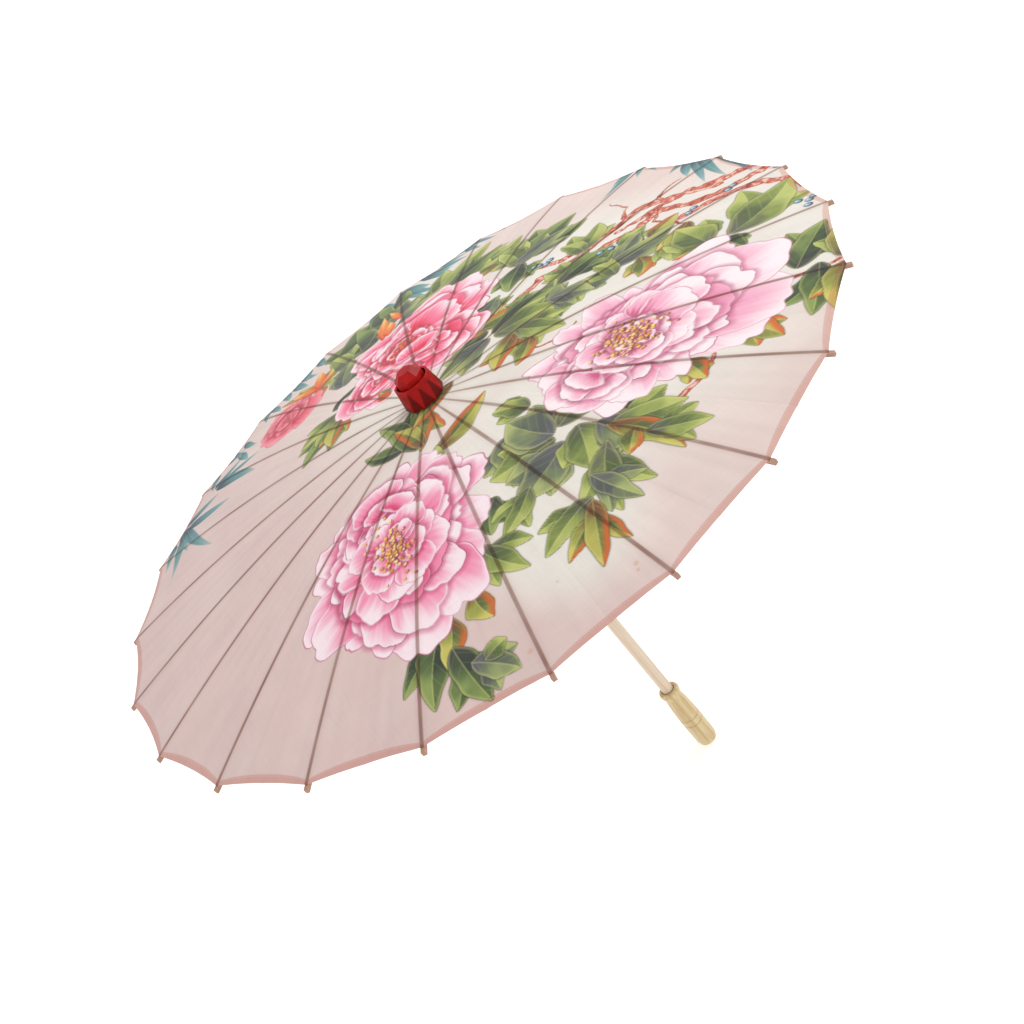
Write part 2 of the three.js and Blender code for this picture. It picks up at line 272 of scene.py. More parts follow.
def peony(art, cx, cy, reaches, shades, seed, layers=(1.0, 0.8, 0.62, 0.45, 0.3), heart=None):
    """Layers of petals from the outside in. The reaches are how far the outer ones go, from
    the right anticlockwise. Dark petals lie behind the inner layers, so that gaps look deep."""
    rng = np.random.RandomState(seed)
    ways = np.linspace(0, 2 * math.pi, len(reaches) + 1)
    spans = np.array((*reaches, reaches[0]), float)
    crisp = [*shades[:3], shades[3] * 0.74]
    night = [shades[0] * 0.8, mix(shades[0], shades[1], 0.45), shades[1], shades[3] * 0.7]
    for depth, share in enumerate(layers):
        number = max(5, round(len(reaches) * share**0.55))
        sx, sy = cx + rng.uniform(-4, 4), cy + rng.uniform(-4, 4)
        for dark in (True, False):
            if dark and depth < 2:
                continue
            for i in rng.permutation(number):
                angle = 2 * math.pi * ((i + 0.5 * depth + rng.uniform(-0.34, 0.34)) / number % 1)
                reach = np.interp(angle, ways, spans) * share * rng.uniform(0.8, 1.12)
                if reach < 14:
                    continue
                width = 2.5 * reach * math.sin(math.pi / number) * rng.uniform(0.85, 1.35)
                foot = 0.12 * reach
                petal(art, sx + foot * math.cos(angle), sy + foot * math.sin(angle), angle,
                      reach * (1.04 if dark else 1), width * (1.1 if dark else 0.9 if depth > 1 else 1),
                      night if dark else crisp if depth else shades, rng, 0.4 if depth else 0.0)
    if heart is None:
        return
    colours, wide, tall, number = heart
    for i in range(number):
        px, py = cx + wide * rng.normal(), cy + tall * rng.normal()
        dot(art, px + 0.9, py - 0.9, rng.uniform(1.5, 2.4), (126, 50, 66), 0.7)
        dot(art, px, py, rng.uniform(1.0, 1.9), colours[rng.randint(len(colours))])


LEAF_INKS = {  # light, middle and dark green, and the colour at the foot
    "olive": ((184, 190, 108), (132, 146, 74), (84, 98, 58), (96, 96, 86)),
    "dark": ((138, 154, 86), (86, 104, 60), (50, 62, 46), (66, 66, 64)),
    "smoky": ((168, 176, 112), (112, 122, 90), (80, 86, 82), (98, 96, 104)),
    "burnt": ((204, 192, 100), (146, 148, 68), (88, 98, 52), (122, 76, 52)),
}
YELLOW_EDGE = np.array([208, 204, 128.0])
BURNT_EDGE = np.array([210, 98, 44.0])


def leaf(art, bx, by, tx, ty, width, kind, seed):
    """A pointed leaf from its foot to its tip, with a pale midrib and side veins."""
    rng = np.random.RandomState(seed)
    light, middle, dark, foot = (np.array(c, float) for c in LEAF_INKS[kind])
    at, length, u, across = art.beside(bx, by, tx, ty, width)
    if not len(at):
        return
    bend = rng.uniform(-0.10, 0.10) * length
    across = across - 4 * bend * u * (1 - u)
    side = np.sign(across)
    shape = np.sin(math.pi * np.clip(u, 0, 1) ** 0.82) ** 0.8
    lobes = 0.10 * np.sin(u * 9 + side * 2 + seed) + 0.03 * np.sin(u * 19 + side + seed)
    half = width / 2 * shape * (1 + lobes)
    inside = np.where((u > 0) & (u < 1), half - np.abs(across), -9.0) * 0.93
    mottle = cloud(art.x[at], art.y[at], 9, 51)
    bright = u + 0.24 * side * rng.choice((-1, 1)) + 0.10 * np.sin(u * 9 + seed) + 0.10 * mottle
    colour = tint(dark, middle, ease(0.08, 0.6, bright))
    colour = tint(colour, light, ease(0.55, 1.1, bright))
    colour = tint(colour, foot, 0.85 * (1 - ease(0.05, 0.42, u + 0.1 * mottle)))
    vein = np.abs(((u * length - np.abs(across) * 1.1) / (0.15 * length + 2)) % 1 - 0.5)
    veined = 0.22 * (1 - ease(0.02, 0.12, vein)) * ease(0.5, 2, np.abs(across))
    colour = tint(colour, light, veined)
    colour = tint(colour, YELLOW_EDGE, 0.5 * (1 - ease(0.3, 0.13 * width, inside)))
    if kind == "burnt":
        turned = (side > 0) * (1 - ease(0.10 * width, 0.34 * width, inside)) * ease(0.1, 0.5, u)
        colour = tint(colour, BURNT_EDGE, 0.9 * turned)
    midrib = 0.42 * (1 - ease(0.3, 0.95, np.abs(across))) * (u < 0.93)
    colour = tint(colour, YELLOW_EDGE, midrib)
    colour = tint(colour, dark * 0.7, 0.75 * (1 - ease(0.1, 0.9, inside)))
    art.dim(at, 0.10 * ease(-2, 0, inside) * (inside < 0))
    art.lay(at, colour, ease(-0.5, 0.5, inside))


def blade(art, bx, by, tx, ty, width, seed):
    """A thin teal bamboo leaf, brushed dark at its foot and watery at its tip."""
    rng = np.random.RandomState(seed)
    at, length, u, across = art.beside(bx, by, tx, ty, width)
    across = across - rng.uniform(-0.25, 0.25) * length * u * (1 - u)
    half = width / 2 * np.sin(math.pi * np.clip(u, 0, 1) ** 0.62) ** 0.9
    inside = np.where((u > 0) & (u < 1), half - np.abs(across), -9.0)
    dark, teal, pale = np.array([52, 74, 88.0]), np.array([86, 134, 138.0]), np.array([150, 184, 180.0])
    tone = np.clip(u + 0.25 * across / width + 0.10 * np.sin(across * 3.1 + seed), 0, 1)
    colour = tint(dark, teal, ease(0.05, 0.45, tone))
    colour = tint(colour, pale, 0.75 * ease(0.5, 1.0, tone))
    colour = tint(colour, pale, 0.35 * (1 - ease(0.2, 0.8, np.abs(across))))
    art.lay(at, colour, ease(-0.5, 0.6, inside) * (0.95 - 0.25 * ease(0.75, 1, u)))


def branch(art, points, thick, thin):
    """A knotty reddish branch along a line of points."""
    points = np.array(points, float)
    steps = len(points) - 1
    middle, reach = points.mean(0), np.abs(points - points.mean(0)).max() + 14
    at = art.near(middle[0], middle[1], reach)
    if not len(at):
        return
    x, y = art.x[at], art.y[at]
    x, y = x + 3.0 * cloud(x, y, 8, 21), y + 3.0 * cloud(x, y, 8, 22)
    inside = np.full(len(at), -99.0)
    for i in range(steps):
        (ax, ay), (bx, by) = points[i], points[i + 1]
        span = (bx - ax) ** 2 + (by - ay) ** 2
        t = np.clip(((x - ax) * (bx - ax) + (y - ay) * (by - ay)) / span, 0, 1)
        away = np.hypot(x - ax - t * (bx - ax), y - ay - t * (by - ay))
        half = mix(thick, thin, (i + t) / steps) / 2
        inside = np.maximum(inside, half - away)
    bark, light, edge = np.array([200, 104, 84.0]), np.array([236, 190, 172.0]), np.array([146, 54, 44.0])
    fleck = cloud(x, y, 2.6, 31) + 0.5 * cloud(x, y, 6.5, 32)
    colour = tint(bark, light, ease(0.0, 0.8, fleck))
    colour = tint(colour, edge, ease(0.25, 0.9, -fleck))
    colour = tint(colour, edge, 0.8 * (1 - ease(0.3, 1.5, inside)))
    art.lay(at, colour, ease(-0.5, 0.5, inside))


def flame(art, bx, by, tx, ty, width):
    """A sepal painted from red at its foot to gold at its tip."""
    at, _, u, across = art.beside(bx, by, tx, ty, width)
    half = width / 2 * np.sin(math.pi * np.clip(u, 0, 1) ** 0.8)
    inside = np.where((u > 0) & (u < 1), half - np.abs(across), -9.0)
    red, orange, gold = (np.array(v, float) for v in ((206, 52, 36), (232, 124, 56), (240, 196, 110)))
    tone = np.clip(u * 0.8 + 0.3 * (1 - np.abs(across) / (half + 0.1)), 0, 1)
    colour = tint(tint(red, orange, ease(0.1, 0.5, tone)), gold, ease(0.5, 0.95, tone))
    art.lay(at, colour, ease(-0.5, 0.5, inside))


LEAVES = (  # foot, tip, width and ink, from the back of the picture to the front
    (-2, 252, -38, 304, 50, "dark"), (22, 268, 54, 334, 40, "smoky"), (64, 246, 92, 300, 34, "olive"),
    (132, 206, 100, 250, 34, "dark"), (140, 214, 196, 246, 40, "olive"),
    (-28, 226, -74, 252, 32, "olive"), (-34, 196, -66, 222, 28, "dark"), (88, 36, 42, 40, 30, "dark"),
    (94, 44, 66, 66, 24, "burnt"), (120, 16, 154, 46, 36, "olive"), (142, 38, 118, 64, 28, "dark"),
    (152, 6, 124, -32, 32, "dark"), (172, 8, 150, -30, 30, "olive"), (178, 0, 214, -18, 30, "smoky"),
    (192, 40, 168, 78, 28, "olive"), (198, 30, 244, 18, 34, "dark"), (238, 22, 274, 46, 30, "olive"),
    (252, -2, 234, 36, 30, "smoky"), (262, 8, 304, 28, 24, "burnt"), (240, -18, 222, -54, 28, "burnt"),
    (268, -22, 254, -60, 28, "olive"), (30, -148, 8, -198, 42, "smoky"),
    (46, -150, 62, -192, 34, "olive"), (92, -178, 58, -158, 30, "olive"),
    (20, -198, 52, -242, 36, "olive"), (112, -198, 144, -234, 34, "dark"),
    (70, -238, 112, -264, 32, "olive"), (148, 132, 176, 100, 30, "olive"),
    (156, 176, 196, 196, 32, "olive"), (-22, 262, -12, 392, 70, "dark"),
    (-40, 250, -56, 330, 40, "olive"), (30, 300, 26, 398, 48, "dark"), (-60, 196, -34, 262, 44, "smoky"),
    (70, 228, 172, 318, 56, "olive"), (92, 238, 176, 272, 40, "dark"), (20, 240, 104, 262, 40, "smoky"),
    (112, 204, 176, 224, 36, "olive"), (160, 150, 252, 204, 60, "dark"),
    (164, 148, 160, 228, 38, "olive"), (160, 156, 236, 168, 40, "smoky"), (166, 150, 132, 94, 40, "dark"),
    (152, 196, 108, 214, 26, "burnt"), (206, 72, 252, 122, 36, "olive"), (214, 70, 204, 118, 24, "olive"),
    (74, 92, 132, 76, 40, "dark"), (78, 60, 128, 46, 32, "burnt"), (118, 98, 86, 66, 32, "smoky"),
    (-72, 124, -140, 82, 40, "dark"), (-74, 128, -134, 126, 34, "olive"),
    (-78, 118, -104, 72, 32, "burnt"), (-84, 150, -30, 160, 26, "dark"), (132, 10, 172, 50, 40, "smoky"),
    (88, 26, 168, 34, 40, "dark"), (84, 20, 20, 12, 44, "smoky"), (88, 20, 160, -6, 52, "olive"),
    (104, -2, 64, -46, 32, "burnt"), (106, 2, 142, -52, 38, "olive"), (112, -30, 82, -62, 24, "burnt"),
    (150, 16, 188, -22, 38, "smoky"), (168, 34, 238, 44, 36, "dark"), (214, -10, 262, 30, 36, "olive"),
    (206, 0, 292, 8, 38, "smoky"), (212, -22, 204, 22, 28, "olive"), (300, -6, 262, -52, 32, "burnt"),
    (290, -72, 284, -8, 52, "olive"), (296, -66, 250, -84, 32, "burnt"),
    (308, -76, 398, -28, 64, "olive"), (296, -92, 278, -64, 36, "dark"),
    (300, -76, 306, -112, 32, "dark"), (312, -188, 372, -138, 44, "dark"),
    (350, -208, 368, -156, 36, "olive"), (330, -196, 284, -254, 38, "dark"),
    (346, -214, 302, -262, 34, "burnt"), (-10, -8, -34, -76, 32, "burnt"),
    (-36, -70, -54, 14, 34, "dark"), (-28, -72, -44, -14, 22, "burnt"), (30, -8, -30, -34, 22, "burnt"),
    (-28, -96, 46, -64, 26, "burnt"), (-28, -112, -20, -86, 16, "olive"),
    (58, -118, 40, -104, 20, "olive"), (66, -134, 36, -106, 32, "olive"),
    (62, -196, -4, -186, 50, "olive"), (64, -190, 40, -132, 56, "smoky"),
    (70, -186, 116, -166, 40, "olive"), (66, -206, 0, -236, 56, "smoky"),
    (-8, -206, -30, -244, 36, "dark"), (20, -226, -24, -256, 28, "olive"),
    (84, -200, 66, -256, 48, "olive"), (96, -214, 118, -268, 48, "smoky"),
    (104, -228, 164, -256, 40, "olive"), (100, -224, 132, -306, 26, "burnt"),
    (92, -240, 62, -320, 36, "olive"), (62, -262, 82, -320, 28, "smoky"),
    (52, -286, -8, -306, 32, "olive"), (50, -288, 22, -354, 28, "burnt"),
    (118, -262, 166, -294, 32, "olive"), (116, -250, 96, -272, 22, "burnt"),
    (-104, -282, -146, -352, 40, "dark"), (-96, -284, -120, -330, 26, "burnt"),
    (-108, -312, -104, -382, 36, "dark"), (-102, -338, -72, -378, 32, "smoky"),
    (-92, -346, -68, -344, 20, "olive"), (-70, -280, -66, -318, 26, "burnt"),
    (-46, -244, -20, -302, 32, "olive"), (184, -214, 186, -250, 28, "burnt"),
    (240, -212, 256, -258, 34, "burnt"), (272, -190, 268, -214, 14, "burnt"),
)
BLADES = (  # foot, tip and width
    (-300, 258, -330, 158, 17), (-298, 256, -266, 130, 15), (-296, 252, -230, 202, 18),
    (-298, 262, -242, 250, 14), (-246, 272, -190, 202, 19), (-246, 270, -178, 250, 15),
    (-248, 276, -198, 296, 14), (-206, 318, -196, 262, 12), (-196, 340, -180, 292, 11),
    (-214, 340, -206, 300, 9), (-150, 378, -160, 330, 11), (-128, 388, -124, 336, 14),
    (-112, 392, -94, 322, 15), (-100, 392, -78, 336, 12), (58, 386, 48, 300, 14), (60, 384, 76, 282, 14),
    (64, 380, 100, 264, 12), (60, 390, 88, 320, 26), (84, 392, 132, 330, 16), (110, 390, 150, 346, 13),
    (132, 386, 166, 350, 12), (196, 376, 196, 338, 11), (228, 362, 232, 322, 10),
    (346, 252, 276, 184, 13), (352, 240, 326, 196, 10), (356, 236, 346, 186, 10), (372, 206, 362, 176, 9),
    (378, 164, 350, 104, 15), (382, 160, 352, 66, 13), (386, 150, 372, 56, 13), (394, 136, 392, 46, 15),
    (398, 120, 402, 54, 12), (374, 168, 346, 150, 11), (20, 396, 8, 352, 18), (30, 398, 44, 352, 14),
    (86, 378, 112, 300, 14), (96, 384, 122, 326, 14), (100, 376, 142, 318, 12), (150, 370, 160, 322, 12),
    (156, 372, 184, 330, 12), (-70, 398, -64, 348, 14), (-86, 396, -96, 352, 12),
    (-150, 376, -138, 322, 12), (-240, 318, -252, 276, 12), (-226, 330, -196, 318, 12),
    (-318, 240, -336, 190, 12), (-306, 250, -300, 180, 13), (344, 250, 300, 214, 10),
    (398, 96, 388, 30, 12),
)
BRANCHES = (
    (((60, 58), (122, 54), (160, 72), (204, 66), (244, 76), (288, 94), (312, 74), (352, 56),
      (410, 42)), 10, 14),
    (((224, 52), (262, 46), (298, 60), (322, 32), (352, 18), (410, 22)), 9, 13),
    (((300, 12), (336, 10), (370, -2), (396, -28), (402, -64), (396, -112)), 11, 9),
    (((156, 114), (176, 100), (190, 86), (222, 80), (256, 84)), 10, 8),
    (((250, 66), (282, 64), (320, 70), (356, 44)), 6, 10),
    (((296, 66), (284, 40), (292, 12), (300, -30)), 5, 2.5),
    (((268, 92), (282, 118), (278, 156)), 6, 2),
    (((308, 84), (324, 104), (344, 110)), 5, 2),
    (((210, 82), (222, 100), (240, 112)), 4, 2),
    (((30, -192), (48, -214), (72, -232)), 7, 5),
    (((160, -250), (184, -246), (206, -230)), 7, 5),
    (((110, -56), (130, -66), (152, -60)), 3, 2),
    (((262, -184), (290, -198), (342, -208)), 3, 5),
)
BERRIES = (
    (174, 107), (180, 100), (186, 104), (222, 43), (232, 38), (309, 12), (317, 18), (354, 15), (362, 20),
    (405, 8), (376, -84), (383, -92), (377, -101), (170, 112), (390, -88),
)


def petal_colours(*colours):
    """Foot, middle, rim and outline of a petal."""
    return [np.array(c, float) for c in colours]


ROSE_SHADES = petal_colours((208, 62, 108), (238, 138, 170), (246, 226, 231), (164, 58, 96))
PALE_SHADES = petal_colours((206, 92, 130), (240, 170, 194), (248, 232, 235), (166, 74, 106))
RED_SHADES = petal_colours((222, 38, 68), (242, 112, 144), (248, 226, 232), (176, 52, 84))
BUD_SHADES = petal_colours((204, 50, 74), (228, 96, 112), (238, 152, 162), (188, 56, 82))
GOLD = ((236, 190, 88), (246, 220, 140), (216, 146, 62))
FLAME = ((238, 90, 40), (244, 140, 56), (218, 46, 34))


def picture(art):
    """The whole print, from the cloth's own colour to the last berry."""
    ground(art)
    for i, (bx, by, tx, ty, width) in enumerate(BLADES):
        blade(art, bx, by, tx, ty, width, 200 + i)
    for points, thick, thin in BRANCHES:
        branch(art, points, thick, thin)
    for i, (bx, by, tx, ty, width, kind) in enumerate(LEAVES):
        if width > 27:  # a broad leaf has a lobe to each side, from a third of the way up
            ax, ay, reach = mix(bx, tx, 0.22), mix(by, ty, 0.22), 0.66
            for way in (0.62, -0.62):
                c, s = reach * math.cos(way), reach * math.sin(way)
                leaf(art, ax, ay, ax + c * (tx - bx) - s * (ty - by), ay + s * (tx - bx) + c * (ty - by),
                     0.62 * width, kind, 340 + 2 * i + (way > 0))
        leaf(art, bx, by, tx, ty, width * (0.82 if width > 27 else 1), kind, 300 + i)
    # the red bud and its flame-coloured sepals at the back
    for tx, ty, width in ((-88, 224, 22), (-60, 300, 24), (-108, 330, 22), (-136, 336, 20), (-58, 262, 20)):
        leaf(art, -84, 262, tx, ty, width, "burnt", 410 + int(tx))
    for tx, ty, width in ((-96, 222, 14), (-74, 330, 18), (-120, 326, 16), (-58, 290, 14)):
        flame(art, -86, 268, tx, ty, width)
    peony(art, -132, 262, (42, 36, 44, 50, 44, 38, 46, 48), BUD_SHADES, 11, (1.0, 0.66, 0.4))
    for bx, by, tx, ty, width in ((4, 238, 22, 330, 16), (36, 262, 30, 330, 10), (12, 240, 24, 286, 18)):
        flame(art, bx, by, tx, ty, width)
    # the large red peony behind the finial
    peony(art, 22, 160, (104, 112, 106, 88, 80, 84, 80, 70, 60, 64, 58, 58, 70, 86), RED_SHADES, 14,
          (1.0, 0.8, 0.62))
    peony(art, -28, 122, (0, 0, 36, 46, 50, 52, 50, 40), RED_SHADES, 12, (1.0, 0.7, 0.45))
    peony(art, 40, 104, (56, 40, 0, 0, 0, 40, 60, 64), RED_SHADES, 13, (1.0, 0.72, 0.48))
    peony(art, 14, 158, (60, 66, 62, 50, 48, 50, 52, 50, 48, 52), RED_SHADES, 24,
          (1.0, 0.66, 0.42), (FLAME, 13, 17, 150))
    petal(art, 18, 108, 1.35, 46, 52, RED_SHADES, np.random.RandomState(18))
    # the two pale ones in front
    peony(art, -104, -166, (104, 116, 92, 90, 98, 88, 82, 88, 92, 100, 104, 112, 116, 102, 92, 90),
          ROSE_SHADES, 16, (1.0, 0.8, 0.62))
    peony(art, -96, -124, (40, 50, 54, 52, 48, 30, 0, 0), ROSE_SHADES, 15, (1.0, 0.76, 0.52))
    peony(art, -104, -166, (48, 52, 44, 40, 42, 40, 46, 50, 52, 50), ROSE_SHADES, 26, (1.0, 0.6),
          (GOLD, 8, 16, 130))
    peony(art, 176, -138, (130, 118, 96, 80, 76, 78, 84, 94, 98, 92, 84, 82, 84, 94, 108, 126),
          PALE_SHADES, 17, (1.0, 0.8, 0.62))
    peony(art, 132, -150, (0, 0, 38, 46, 50, 50, 44, 36), PALE_SHADES, 20, (1.0, 0.74, 0.5))
    peony(art, 172, -136, (60, 56, 44, 38, 40, 44, 46, 44, 48, 56), PALE_SHADES, 27, (1.0, 0.7, 0.46),
          (GOLD, 15, 12, 140))
    leaf(art, -26, 66, -34, 92, 14, "burnt", 501)
    dot(art, -31, 75, 8, (196, 92, 52))
    for bx, by in BERRIES:
        dot(art, bx, by, 4.4, (52, 70, 92))
        dot(art, bx - 0.6, by + 0.8, 3.2, (128, 168, 186))
        dot(art, bx - 1.2, by + 1.6, 1.2, (214, 228, 232))
    specks = ((42, -372, 2.2), (-12, -334, 1.3), (-60, -372, 2.4), (40, -378, 1.6), (250, -330, 1.4))
    for sx, sy, size in specks:
        dot(art, sx, sy, size, (196, 150, 104), 0.35)


# ---- the cover ----
def columns(r):
    """How many cells a gore has across at a radius, so that a cell is about a millimetre."""
    for limit, number in ((30, 8), (58, 16), (116, 32), (233, 64)):
        if r < limit:
            return number
    return 128


def gore_grid(inner, outer):
    """Rings (r) and places across (t, -1 to 1) of a gore's corners, and its faces."""
    rows = max(2, round((outer - inner) / 1.06))
    radii = [inner + (outer - inner) * i / rows for i in range(rows + 1)]
    ring, across, faces, last = [], [], [], None
    for r in radii:
        n = columns(r + 1e-6)
        start = len(ring)
        ring += [r] * (n + 1)
        across += [2 * i / n - 1 for i in range(n + 1)]
        if last is not None:
            before, m = last
            if m == n:
                faces += [(before + i, start + i, start + i + 1, before + i + 1) for i in range(n)]
            else:
                for i in range(m):
                    a, b, c = start + 2 * i, start + 2 * i + 1, start + 2 * i + 2
                    faces += [(before + i, a, b), (before + i, b, before + i + 1), (before + i + 1, b, c)]
        last = (start, n)
    return np.array(ring), np.array(across), faces


def gore_points(ring, across, angle):
    """The cloth's upper side: taut from rib to rib, dipping a little in between."""
    t = np.abs(across)
    reach = ring - HEM_DIP * ease(COVER_R - 75, COVER_R, ring) * (2 * t - t * t)
    x = reach * (1 - t / 2 * (1 - math.cos(STEP)))
    y = reach * np.sign(across) * t / 2 * math.sin(STEP)
    c, s = math.cos(angle), math.sin(angle)
    px, py = x * c - y * s, x * s + y * c
    far = ring / COVER_R
    z = rib_top(reach) + CLEAR + CLOTH - SAG * far**2 * (2 * t - t * t)
    from_fold = (1 - t) * ring * math.sin(STEP) / 2
    loose = ease(0, 12, t * ring * math.sin(STEP) / 2)
    wobble = 1 + 0.6 * cloud(px, py, 34, 41)
    z -= 0.34 * ease(60, 200, ring) * wobble * np.exp(-from_fold / 2.6)
    z += loose * ease(40, 160, ring) * (0.22 * cloud(px, py, 38, 42) + 0.10 * cloud(px, py, 12, 43))
    return px, py, z


def hem_share(ring, across):
    """0 at the cut edge and 1 where the turned hem ends: narrow at the ribs, wider between."""
    t = np.abs(across)
    wide = 3.4 + 4.0 * (2 * t - t * t) ** 0.6
    return (COVER_R - ring) / wide


def fill_mesh(name, points, faces):
    mesh = bpy.data.meshes.new(name)
    sizes = np.array([len(f) for f in faces], np.int32)
    corners = np.fromiter((i for f in faces for i in f), np.int32, int(sizes.sum()))
    mesh.vertices.add(len(points))
    mesh.vertices.foreach_set("co", np.asarray(points, np.float32).ravel())
    mesh.loops.add(len(corners))
    mesh.loops.foreach_set("vertex_index", corners)
    mesh.polygons.add(len(sizes))
    starts = np.concatenate([[0], np.cumsum(sizes)[:-1]]).astype(np.int32)
    mesh.polygons.foreach_set("loop_start", starts)
    mesh.polygons.foreach_set("loop_total", sizes)
    mesh.update(calc_edges=True)
    mesh.polygons.foreach_set("use_smooth", np.ones(len(sizes), bool))
    mesh.update()
    return mesh


def add_piece(name, mesh, *materials):
    piece = bpy.data.objects.new(name, mesh)
    bpy.context.collection.objects.link(piece)
    for material in materials:
        mesh.materials.append(material)
    return piece


def put_value(mesh, name, values):
    mesh.attributes.new(name, "FLOAT", "POINT").data.foreach_set(
        "value", np.asarray(values, np.float32))


# ---- shader helpers ----
def new_group(name, inputs, outputs):
    group = bpy.data.node_groups.new(name, "ShaderNodeTree")
    for title, kind, value in inputs:
        socket = group.interface.new_socket(title, in_out="INPUT", socket_type=f"NodeSocket{kind}")
        if value is not None:
            socket.default_value = value
    for title, kind in outputs:
        group.interface.new_socket(title, in_out="OUTPUT", socket_type=f"NodeSocket{kind}")
    return Nodes(group)


class Nodes:
    """A node tree with short ways to add a node, give its inputs and join them."""

    def __init__(self, tree):
        self.tree = tree
        self.start = self.end = None
        if isinstance(tree, bpy.types.NodeTree) and tree.interface.items_tree:
            self.start = tree.nodes.new("NodeGroupInput")
            self.end = tree.nodes.new("NodeGroupOutput")

    def given(self, title):
        return self.start.outputs[title]

    def give(self, title, source):
        self.tree.links.new(source, self.end.inputs[title])

    def add(self, kind, inputs=None, **settings):
        node = self.tree.nodes.new(kind)
        for key, value in settings.items():
            setattr(node, key, value)
        for key, value in (inputs or {}).items():
            socket = node.inputs[key]
            if isinstance(value, bpy.types.NodeSocket):
                self.tree.links.new(value, socket)
            else:
                socket.default_value = value
        return node

    def math(self, operation, a, b=0.0, c=None, clamp=False):
        inputs = {0: a, 1: b}
        if c is not None:
            inputs[2] = c
        return self.add("ShaderNodeMath", inputs, operation=operation, use_clamp=clamp).outputs[0]

    def times(self, a, b):
        return self.math("MULTIPLY", a, b)

    def plus(self, a, b):
        return self.math("ADD", a, b)

    def blend(self, share, a, b, kind="MIX"):
        node = self.add("ShaderNodeMix", {0: share, 6: a, 7: b}, data_type="RGBA", blend_type=kind)
        return node.outputs[2]

    def span(self, value, low, high, to_low=0.0, to_high=1.0):
        node = self.add("ShaderNodeMapRange", {
            "Value": value, "From Min": low, "From Max": high, "To Min": to_low, "To Max": to_high,
        }, interpolation_type="SMOOTHSTEP")
        return node.outputs["Result"]

    def noise(self, vector, scale, detail=2.0, rough=0.5):
        return self.add("ShaderNodeTexNoise", {
            "Vector": vector, "Scale": scale, "Detail": detail, "Roughness": rough,
        }).outputs["Fac"]

    def stretch(self, vector, scale, turn=(0, 0, 0)):
        return self.add("ShaderNodeMapping", {
            "Vector": vector, "Scale": scale, "Rotation": turn}).outputs["Vector"]

    def place(self):
        """Object coordinates in millimetres."""
        source = self.add("ShaderNodeTexCoord").outputs["Object"]
        return self.stretch(source, (1000, 1000, 1000))

    def group(self, group, **inputs):
        node = self.tree.nodes.new("ShaderNodeGroup")
        node.node_tree = group.tree
        for key, value in inputs.items():
            socket = node.inputs[key.replace("_", " ")]
            if isinstance(value, bpy.types.NodeSocket):
                self.tree.links.new(value, socket)
            else:
                socket.default_value = value
        return node.outputs


def new_material(name):
    material = bpy.data.materials.new(name)
    material.use_nodes = True
    material.node_tree.nodes.clear()
    return material, Nodes(material.node_tree)


def finish_material(nodes, colour, roughness, height, depth, **constants):
    """A Principled surface from a colour, a roughness and a height in millimetres."""
    bump = nodes.add("ShaderNodeBump", {"Height": height, "Distance": depth * MM, "Strength": 1.0})
    surface = nodes.add("ShaderNodeBsdfPrincipled", {
        "Base Color": colour, "Roughness": roughness, "Normal": bump.outputs["Normal"],
    })
    for key, value in constants.items():
        surface.inputs[key.replace("_", " ")].default_value = value
    out = nodes.add("ShaderNodeOutputMaterial")
    nodes.tree.links.new(surface.outputs["BSDF"], out.inputs["Surface"])
    return surface


def make_spoke_place():
    """Distance from the shaft, the way round and height, in millimetres, as a vector."""
    g = new_group("spoke place", [("Vector", "Vector", None)], [("Vector", "Vector")])
    parts = g.add("ShaderNodeSeparateXYZ", {0: g.given("Vector")})
    x, y, z = parts.outputs
    away = g.math("SQRT", g.plus(g.times(x, x), g.times(y, y)))
    turns = g.times(g.math("ARCTAN2", y, x), RIBS / (2 * math.pi))
    nearest = g.math("ROUND", turns)
    off = g.times(g.math("SUBTRACT", turns, nearest), STEP)
    side = g.plus(g.times(off, away), g.times(nearest, 37.3))
    g.give("Vector", g.add("ShaderNodeCombineXYZ", {0: away, 1: side, 2: z}).outputs[0])
    return g


def make_grain():
    """Long fibres along the vector's X: a tone, a fine height and darker streaks."""
    g = new_group(
        "fibre grain",
        [("Vector", "Vector", None), ("Length", "Float", 40.0), ("Width", "Float", 1.2)],
        [("Tone", "Float"), ("Streak", "Float"), ("Height", "Float")],
    )
    parts = g.add("ShaderNodeSeparateXYZ", {0: g.given("Vector")})
    x, y, z = parts.outputs
    long = g.math("DIVIDE", x, g.given("Length"))
    wide = g.math("DIVIDE", y, g.given("Width"))
    tall = g.math("DIVIDE", z, g.given("Width"))
    laid = g.add("ShaderNodeCombineXYZ", {0: long, 1: wide, 2: tall}).outputs[0]
    fine = g.stretch(laid, (2.2, 3.7, 3.7))
    broad = g.stretch(laid, (0.35, 0.33, 0.33))
    fibres = g.noise(laid, 1.0, 3.0, 0.6)
    threads = g.noise(fine, 1.0, 2.0, 0.6)
    tone = g.plus(g.times(g.noise(broad, 1.0, 1.0), 0.6), g.times(fibres, 0.4))
    g.give("Tone", tone)
    g.give("Streak", g.span(threads, 0.56, 0.72))
    g.give("Height", g.plus(g.times(fibres, 0.6), g.times(threads, 0.4)))
    return g


